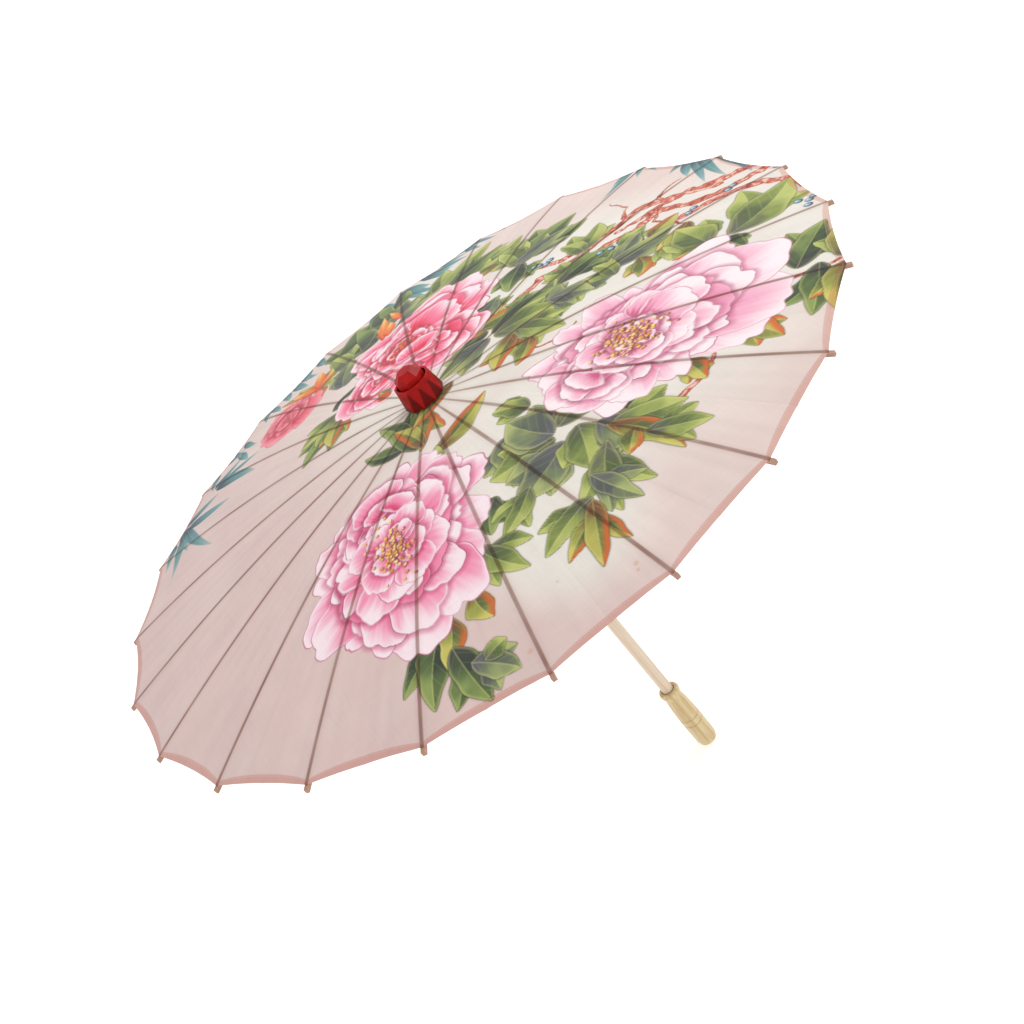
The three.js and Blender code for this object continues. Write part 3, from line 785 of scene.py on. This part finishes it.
def make_wear():
    """Where a hand or a fold has rubbed an edge, broken up by a soft noise."""
    g = new_group(
        "edge wear",
        [("Vector", "Vector", None), ("Width", "Float", 0.6), ("Patch", "Float", 0.25)],
        [("Mask", "Float")],
    )
    bevel = g.add("ShaderNodeBevel", {"Radius": g.times(g.given("Width"), MM)}, samples=4)
    face = g.add("ShaderNodeNewGeometry").outputs["Normal"]
    turn = g.add("ShaderNodeVectorMath", {0: bevel.outputs[0], 1: face}, operation="DOT_PRODUCT")
    edge = g.span(turn.outputs["Value"], 0.995, 0.80)
    patch = g.span(g.noise(g.given("Vector"), g.given("Patch"), 3.0, 0.6), 0.38, 0.62)
    g.give("Mask", g.times(edge, patch))
    return g


def make_weave():
    """Plain weave: crossed threads, with thicker slubs here and there."""
    g = new_group(
        "plain weave",
        [("Vector", "Vector", None), ("Pitch", "Float", 0.42)],
        [("Height", "Float"), ("Slub", "Float")],
    )
    parts = g.add("ShaderNodeSeparateXYZ", {0: g.given("Vector")})
    x, y, _ = parts.outputs
    turn = 2 * math.pi
    warp = g.math("SINE", g.times(g.math("DIVIDE", x, g.given("Pitch")), turn))
    weft = g.math("SINE", g.times(g.math("DIVIDE", y, g.given("Pitch")), turn))
    g.give("Height", g.times(g.plus(warp, weft), 0.25))
    along_x = g.noise(g.stretch(g.given("Vector"), (0.05, 1.3, 0.1)), 1.0, 1.0)
    along_y = g.noise(g.stretch(g.given("Vector"), (1.3, 0.05, 0.1)), 1.0, 1.0)
    g.give("Slub", g.math("SUBTRACT", g.plus(along_x, along_y), 1.0))
    return g


spoke_place = make_spoke_place()
grain = make_grain()
wear = make_wear()
weave = make_weave()


# ---- materials ----
def cloth_material(name, fade, under):
    """The printed cover, with painted shade where the ribs under it show through as dark lines. Under it
    the print is fainter and has no such lines.
    """
    material, n = new_material(name)
    place = n.place()
    ink = n.add("ShaderNodeAttribute", attribute_name="ink").outputs["Color"]
    off = n.math("ABSOLUTE", n.add("ShaderNodeAttribute", attribute_name="rib off").outputs["Fac"])
    hem = n.add("ShaderNodeAttribute", attribute_name="hem").outputs["Fac"]
    ring = n.add("ShaderNodeAttribute", attribute_name="ring").outputs["Fac"]
    threads = n.group(weave, Vector=place, Pitch=0.42)
    colour = n.blend(fade, ink, paint((228, 208, 200)))
    if not under:
        # painted shade: the ribs under the cloth show through it as dark lines
        drift = n.noise(n.stretch(place, (0.02, 0.02, 0.02)), 1.0, 3.0)
        depth = n.span(drift, 0.3, 0.7, 0.62, 0.86)
        width = n.span(ring, 24, 110, 1.3, 2.2)
        rib_shadow_core = n.math("SUBTRACT", 1.0, n.span(n.math("DIVIDE", off, width), 0.45, 1.2), clamp=True)
        line = n.times(n.times(rib_shadow_core, depth), n.span(ring, 12, 60, 0.6, 1.0))
        colour = n.blend(line, colour, paint((152, 116, 98)), "MULTIPLY")
        # painted shade: a faint wider band of shadow beside each rib
        soft = n.math("SUBTRACT", 1.0, n.span(off, 1.0, 7.5), clamp=True)
        colour = n.blend(n.times(soft, 0.16), colour, paint((190, 160, 146)), "MULTIPLY")
    hem_on = n.math("SUBTRACT", 1.0, n.span(hem, 0.90, 1.10), clamp=True)
    colour = n.blend(n.times(hem_on, 0.85), colour, paint((240, 206, 198)), "MULTIPLY")
    dash = n.math("SINE", n.times(off, 2 * math.pi / 2.8))
    from_row = n.math("ABSOLUTE", n.math("SUBTRACT", hem, 0.80))
    row = n.math("SUBTRACT", 1.0, n.span(from_row, 0.04, 0.09), clamp=True)
    stitch = n.times(row, n.span(dash, -0.5, 0.1))
    colour = n.blend(n.times(stitch, 0.3), colour, paint((236, 206, 196)))
    tone = n.plus(1.0, n.times(threads["Slub"], 0.10))
    shade = n.add("ShaderNodeCombineColor", {0: tone, 1: tone, 2: tone}).outputs[0]
    colour = n.blend(1.0, colour, shade, "MULTIPLY")
    rough = n.span(threads["Slub"], -0.3, 0.3, 0.70, 0.82)
    height = n.plus(n.times(threads["Height"], 0.35),
                    n.plus(n.times(threads["Slub"], 1.0), n.times(stitch, 1.2)))
    finish_material(n, colour, rough, height, 0.05, Sheen_Weight=0.12, Sheen_Roughness=0.5,
                    Specular_IOR_Level=0.3)
    return material


def bamboo_material(name, light, dark, tilt, dark_tips=False):
    """Split bamboo: fibres along each rib, tilted in its plane, with small brown flecks."""
    material, n = new_material(name)
    spoke = n.group(spoke_place, Vector=n.place())["Vector"]
    spoke = n.stretch(spoke, (1, 1, 1), (0, tilt, 0))
    fibres = n.group(grain, Vector=spoke, Length=46.0, Width=0.7)
    rub = n.group(wear, Vector=spoke, Width=0.5, Patch=0.12)["Mask"]
    colour = n.blend(n.span(fibres["Tone"], 0.3, 0.7), paint(light), paint(dark))
    colour = n.blend(n.times(fibres["Streak"], 0.45), colour, paint([c * 0.62 for c in dark]))
    fleck = n.span(n.noise(n.stretch(spoke, (0.10, 0.5, 0.5)), 1.0, 4.0, 0.7), 0.64, 0.74)
    colour = n.blend(n.times(fleck, 0.5), colour, paint((120, 82, 48)))
    colour = n.blend(n.times(rub, 0.5), colour, paint((246, 230, 198)))
    if dark_tips:  # a rib darkens to brown from just inside the hem out to its tip
        away = n.add("ShaderNodeSeparateXYZ", {0: spoke}).outputs[0]
        ragged = n.plus(away, n.times(n.noise(n.place(), 0.5, 2.0), 5.0))
        tip_darkening = n.span(ragged, COVER_R - 6, COVER_R + 1, 0.0, 0.85)
        colour = n.blend(tip_darkening, colour, paint((166, 122, 104)))
    rough = n.span(fibres["Height"], 0.3, 0.7, 0.48, 0.64)
    finish_material(n, colour, rough, fibres["Height"], 0.10)
    return material


def turned_material(name, light, dark, length, width, gloss, bore=None):
    """Turned wood, its grain along the shaft, under a thin varnish."""
    material, n = new_material(name)
    place = n.place()
    laid = n.stretch(place, (1, 1, 1), (0, math.pi / 2, 0))
    fibres = n.group(grain, Vector=laid, Length=length, Width=width)
    rub = n.group(wear, Vector=place, Width=0.7, Patch=0.12)["Mask"]
    colour = n.blend(n.span(fibres["Tone"], 0.32, 0.68), paint(light), paint(dark))
    colour = n.blend(n.times(fibres["Streak"], 0.38), colour, paint([c * 0.74 for c in dark]))
    colour = n.blend(n.times(rub, 0.4), colour, paint((244, 234, 212)))
    if bore:  # painted shade: a dark ring round the mouth of the bore, where the shaft goes in
        spoke = n.group(spoke_place, Vector=place)["Vector"]
        away = n.add("ShaderNodeSeparateXYZ", {0: spoke}).outputs[0]
        bore_shade = n.span(away, bore + 0.4, bore + 1.7, 0.8, 0.0)
        colour = n.blend(bore_shade, colour, paint((96, 66, 44)))
    rough = n.span(fibres["Height"], 0.3, 0.7, gloss, gloss + 0.16)
    finish_material(n, colour, rough, fibres["Height"], 0.07, Coat_Weight=0.18, Coat_Roughness=0.28)
    return material


def lacquer_material(name, facets=None):
    """Brushed red lacquer: brighter where edges are rubbed, darker where it pooled; given facets get
    painted shade.
    """
    material, n = new_material(name)
    place = n.place()
    pool = n.noise(place, 0.10, 3.0)
    brush = n.noise(n.stretch(place, (1.4, 1.4, 0.12)), 1.0, 3.0)
    rub = n.group(wear, Vector=place, Width=0.8, Patch=0.2)["Mask"]
    colour = n.blend(n.span(pool, 0.35, 0.68), paint((178, 14, 12)), paint((150, 8, 10)))
    colour = n.blend(n.times(n.span(brush, 0.55, 0.75), 0.35), colour, paint((198, 44, 30)))
    if facets:  # painted shade in the carved facets: dark triangles, widest at the foot
        sides, foot, rim = facets
        x, y, z = n.add("ShaderNodeSeparateXYZ", {0: place}).outputs
        turns = n.times(n.math("ARCTAN2", y, x), sides / (2 * math.pi))
        off = n.math("ABSOLUTE", n.math("SUBTRACT", n.math("FRACT", n.plus(turns, 50.0)), 0.5))
        height_share = n.math("DIVIDE", n.math("SUBTRACT", z, foot), rim - foot)
        depth = n.math("SUBTRACT", n.times(n.math("SUBTRACT", 1.0, height_share), 0.46), off)
        # painted shade: a dark triangle in each facet, fading out just below the rim
        facet_shade = n.times(n.span(depth, 0.0, 0.06), n.span(height_share, 0.90, 0.84))
        colour = n.blend(n.times(facet_shade, 0.72), colour, paint((74, 6, 10)))
    colour = n.blend(n.times(rub, 0.65), colour, paint((222, 84, 60)))
    rough = n.span(brush, 0.3, 0.7, 0.42, 0.56)
    height = n.plus(n.times(brush, 0.7), n.times(pool, 0.5))
    finish_material(n, colour, rough, height, 0.12, Specular_IOR_Level=0.16,
                    Coat_Weight=0.06, Coat_Roughness=0.30)
    return material


def brass_material():
    """Drawn brass, dulled in patches."""
    material, n = new_material("dull brass")
    place = n.place()
    drawn = n.noise(n.stretch(place, (0.4, 0.4, 6.0)), 1.0, 3.0)
    dull = n.span(n.noise(place, 0.22, 4.0, 0.6), 0.42, 0.66)
    colour = n.blend(drawn, paint((206, 166, 92)), paint((176, 134, 70)))
    colour = n.blend(n.times(dull, 0.6), colour, paint((110, 84, 52)))
    rough = n.span(dull, 0.0, 1.0, 0.28, 0.55)
    metal = n.span(dull, 0.0, 1.0, 1.0, 0.72)
    surface = finish_material(n, colour, rough, drawn, 0.03)
    n.tree.links.new(metal, surface.inputs["Metallic"])
    return material


def thread_material(name, light, dark):
    """Twisted lacing thread."""
    material, n = new_material(name)
    place = n.place()
    parts = n.group(spoke_place, Vector=place)["Vector"]
    twist = n.add("ShaderNodeTexWave", {
        "Vector": n.stretch(parts, (1, 1, 1), (0, 0, 0.8)), "Scale": 1.1, "Distortion": 0.6, "Detail": 1.0,
    }).outputs["Fac"]
    fuzz = n.noise(place, 2.4, 3.0)
    colour = n.blend(n.span(twist, 0.15, 0.75), paint(dark), paint(light))
    colour = n.blend(n.times(fuzz, 0.3), colour, paint([c * 0.7 for c in dark]))
    height = n.plus(twist, n.times(fuzz, 0.4))
    finish_material(n, colour, n.span(fuzz, 0.2, 0.8, 0.7, 0.9), height, 0.16)
    return material


cloth_top = cloth_material("printed cloth", 0.0, False)
cloth_under = cloth_material("printed cloth underside", 0.38, True)
rib_bamboo = bamboo_material("rib bamboo", (222, 202, 166), (188, 156, 112), 0.0, dark_tips=True)
stretcher_bamboo = bamboo_material("stretcher bamboo", (218, 196, 156), (184, 150, 104), math.radians(28))
shaft_wood = turned_material("pale shaft wood", (232, 217, 196), (212, 190, 158), 60.0, 1.1, 0.40)
handle_wood = turned_material("handle wood", (226, 208, 164), (198, 172, 120), 44.0, 1.3, 0.40, bore=6.8)
hub_wood = turned_material("hub wood", (214, 190, 150), (178, 146, 102), 16.0, 0.9, 0.44)
collar_low, collar_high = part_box("finial_collar")
red_lacquer = lacquer_material("red lacquer")
facet_shaded_lacquer = lacquer_material(
    "carved red lacquer", (10, collar_low[2] / MM + 1.5, collar_high[2] / MM - 0.5))
dull_brass = brass_material()
red_thread = thread_material("lacing thread", (186, 50, 40), (120, 22, 22))


# ---- the cover's pieces ----
RINGS = (
    ("inner", HOLE_R, INNER_R), ("middle", INNER_R, MIDDLE_R), ("wide", MIDDLE_R, WIDE_R),
    ("outer", WIDE_R, OUTER_R), ("hem", OUTER_R, COVER_R),
)
grids = {title: gore_grid(inner, outer) for title, inner, outer in RINGS}


def make_cover():
    points = {
        (title, number): gore_points(grids[title][0], grids[title][1], rib_angle(number))
        for number in range(1, RIBS + 1) for title, _, _ in RINGS
    }
    keys = list(points)
    art = Picture(
        np.concatenate([points[k][0] for k in keys]), np.concatenate([points[k][1] for k in keys])
    )
    picture(art)
    inks = np.split(art.ink, np.cumsum([len(points[k][0]) for k in keys])[:-1])
    for key, ink in zip(keys, inks):
        title, number = key
        ring, across, faces = grids[title]
        x, y, z = points[key]
        name = f"cover_{title}_{number:02d}"
        mesh = fill_mesh(name, np.stack([x, y, z], 1) * MM, faces)
        shade = np.ones((len(ink), 4), np.float32)
        shade[:, :3] = linear(np.clip(ink, 0, 255))
        mesh.attributes.new("ink", "FLOAT_COLOR", "POINT").data.foreach_set("color", shade.ravel())
        put_value(mesh, "rib off", across * ring * math.sin(STEP) / 2)
        put_value(mesh, "hem", hem_share(ring, across))
        put_value(mesh, "ring", ring)
        piece = add_piece(name, mesh, cloth_top, cloth_under)
        thick = piece.modifiers.new("cloth", "SOLIDIFY")
        thick.thickness = CLOTH * MM
        thick.offset = -1
        thick.material_offset = 1
        piece.modifiers.new("crisp cut edges", "NODES").node_group = smooth_sides
        body = f"rib_{number:02d}"
        if title == "inner":
            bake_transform(piece)
        else:
            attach(piece, body)
            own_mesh(piece)
        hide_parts("canopy")


# ---- rigid pieces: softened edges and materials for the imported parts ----
def shading_group():
    """Shades curved sides smooth and keeps real corners sharp."""
    group = bpy.data.node_groups.new("smooth curved sides", "GeometryNodeTree")
    group.interface.new_socket("Geometry", in_out="INPUT", socket_type="NodeSocketGeometry")
    group.interface.new_socket("Geometry", in_out="OUTPUT", socket_type="NodeSocketGeometry")
    n = group.nodes
    start, end = n.new("NodeGroupInput"), n.new("NodeGroupOutput")
    faces, edges = n.new("GeometryNodeSetShadeSmooth"), n.new("GeometryNodeSetShadeSmooth")
    faces.domain, edges.domain = "FACE", "EDGE"
    edges.inputs["Shade Smooth"].default_value = False
    angle = n.new("GeometryNodeInputMeshEdgeAngle")
    sharp = n.new("FunctionNodeCompare")
    sharp.data_type, sharp.operation = "FLOAT", "GREATER_THAN"
    sharp.inputs[1].default_value = CORNER
    group.links.new(start.outputs[0], faces.inputs["Geometry"])
    group.links.new(faces.outputs[0], edges.inputs["Geometry"])
    group.links.new(angle.outputs["Unsigned Angle"], sharp.inputs[0])
    group.links.new(sharp.outputs[0], edges.inputs["Selection"])
    group.links.new(edges.outputs[0], end.inputs[0])
    return group


smooth_sides = shading_group()
make_cover()


def dress(name, material, bevel, segments):
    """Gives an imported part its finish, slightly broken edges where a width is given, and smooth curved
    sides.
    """
    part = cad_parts[name]
    for i in range(len(part.material_slots)):
        part.material_slots[i].link = "OBJECT"
        part.material_slots[i].material = material
    if bevel:
        edge = part.modifiers.new("broken edges", "BEVEL")
        edge.width = bevel * MM
        edge.segments = segments
        edge.limit_method = "ANGLE"
        edge.angle_limit = CORNER
        edge.use_clamp_overlap = True
    smooth = part.modifiers.new("smooth sides", "NODES")
    smooth.node_group = smooth_sides


FINISHES = (  # piece, material, broken edge in millimetres and its segments
    ("shaft", shaft_wood, 0.3, 2), ("handle", handle_wood, 0.4, 3), ("top_hub", hub_wood, 0.15, 2),
    ("runner", hub_wood, 0.15, 2), ("stop_peg", stretcher_bamboo, 0.3, 2),
    ("hub_peg", stretcher_bamboo, 0.3, 2), ("hub_lacing", dull_brass, 0, 0),
    ("runner_lacing", red_thread, 0, 0), ("catch_spring", dull_brass, 0.12, 2),
    ("canopy_washer", red_lacquer, 0.2, 2), ("finial_collar", facet_shaded_lacquer, 0.35, 3),
    ("finial_knob", red_lacquer, 0.7, 4),
)
for number in range(1, RIBS + 1):
    dress(f"rib_{number:02d}", rib_bamboo, 0.25, 2)
    dress(f"stretcher_{number:02d}", stretcher_bamboo, 0.25, 2)
for finish in FINISHES:
    dress(*finish)


# ---- floor and light ----
def make_floor():
    mesh = bpy.data.meshes.new("floor")
    wide = 45.0  # from the middle to each side
    corners = [(-wide, -wide, 0), (wide, -wide, 0), (wide, wide, 0), (-wide, wide, 0)]
    mesh.from_pydata(corners, [], [(0, 1, 2, 3)])
    floor = bpy.data.objects.new("floor", mesh)
    bpy.context.collection.objects.link(floor)
    material, n = new_material("pale floor")
    speck = n.span(n.noise(n.place(), 0.02, 3.0), 0.3, 0.7)
    colour = n.blend(speck, (0.90, 0.90, 0.90, 1), (0.88, 0.88, 0.88, 1))
    finish_material(n, colour, 0.9, speck, 0.02, Emission_Color=(1, 1, 1, 1), Emission_Strength=0.42)
    mesh.materials.append(material)


def area_light(name, place, aim, size, power, colour=(1, 1, 1)):
    data = bpy.data.lights.new(name, "AREA")
    data.shape = "DISK"
    data.size = size
    data.energy = power
    data.color = colour
    light = bpy.data.objects.new(name, data)
    bpy.context.collection.objects.link(light)
    light.location = place
    light.rotation_euler = (Vector(aim) - Vector(place)).to_track_quat("-Z", "Y").to_euler()


def make_light():
    world = bpy.data.worlds.new("studio")
    world.use_nodes = True
    sky = world.node_tree.nodes["Background"]
    sky.inputs["Color"].default_value = (1, 1, 1, 1)
    seen = world.node_tree.nodes.new("ShaderNodeLightPath").outputs["Is Camera Ray"]
    strength = world.node_tree.nodes.new("ShaderNodeMapRange")
    strength.inputs["To Min"].default_value = 0.74
    strength.inputs["To Max"].default_value = 1.0
    world.node_tree.links.new(seen, strength.inputs["Value"])
    world.node_tree.links.new(strength.outputs["Result"], sky.inputs["Strength"])
    bpy.context.scene.world = world
    middle = (0, 0, 0.45)
    area_light("key", (2.2, 0.8, 3.0), middle, 1.3, 50)
    area_light("fill", (-2.6, -2.0, 2.0), middle, 2.4, 8)


make_floor()
make_light()
scene = bpy.context.scene
scene.view_settings.view_transform = "Standard"
scene.view_settings.look = "None"
